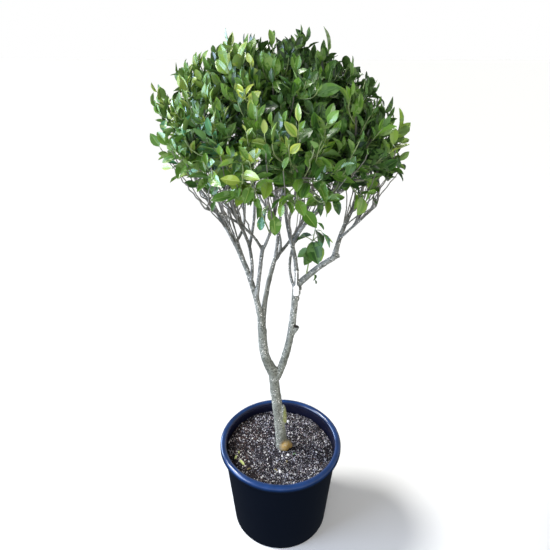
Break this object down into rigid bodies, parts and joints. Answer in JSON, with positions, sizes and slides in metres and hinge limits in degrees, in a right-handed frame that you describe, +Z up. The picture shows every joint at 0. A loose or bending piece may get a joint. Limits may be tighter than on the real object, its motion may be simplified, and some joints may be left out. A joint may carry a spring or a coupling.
{
  "type": "potted standard topiary tree",
  "caption": "Small evergreen fruit tree trained as a standard: a short trunk that forks low, fanning boughs and a clipped dome of leaves, in a round tapered pot with a rolled rim.",
  "frame": {"origin": "middle of the pot's flat underside, which stands on the ground", "axes": "+Z up along the pot's axis; -Y towards the tree's front, where the picture was taken from; +X to the right in that view"},
  "size_m": [0.6199, 0.6182, 1.5436],
  "materials": {
    "pot": "satin moulded polypropylene, dark navy blue",
    "potting_mix": "loose dark composted bark with pale granules",
    "bark": "smooth grey-green bark with pale lenticels",
    "foliage": "glossy mid-green leaves with paler undersides",
    "tag": "matte white plastic film"
  },
  "bodies": {
    "root": {"pot": "pot", "soil": "potting_mix", "plant_tag": "tag", "trunk": "bark", "limb_left": "bark", "limb_right": "bark", "left_outer": "bark", "limb_centre": "bark", "left_front": "bark", "centre": "bark", "left_back": "bark", "top_left": "bark", "front_left": "bark", "top_front": "bark", "back_left": "bark", "back_right": "bark", "top_back": "bark", "right_arm": "bark", "upper_right": "bark", "right_back": "bark", "right_riser": "bark", "right_outer": "bark", "front_right": "bark", "front_mid": "bark", "top_right": "bark", "leaves_left": "foliage", "leaves_left_front": "foliage", "leaves_front_left": "foliage", "leaves_front": "foliage", "leaves_front_right": "foliage", "leaves_right_front": "foliage", "leaves_right": "foliage", "leaves_right_back": "foliage", "leaves_back_right": "foliage", "leaves_back_left": "foliage", "leaves_left_back": "foliage", "leaves_top_left": "foliage", "leaves_top_front": "foliage", "leaves_top_right": "foliage", "leaves_top_back": "foliage", "low_spray_right": "foliage", "low_spray_left": "foliage", "low_spray_under": "foliage"}
  },
  "joints": []
}
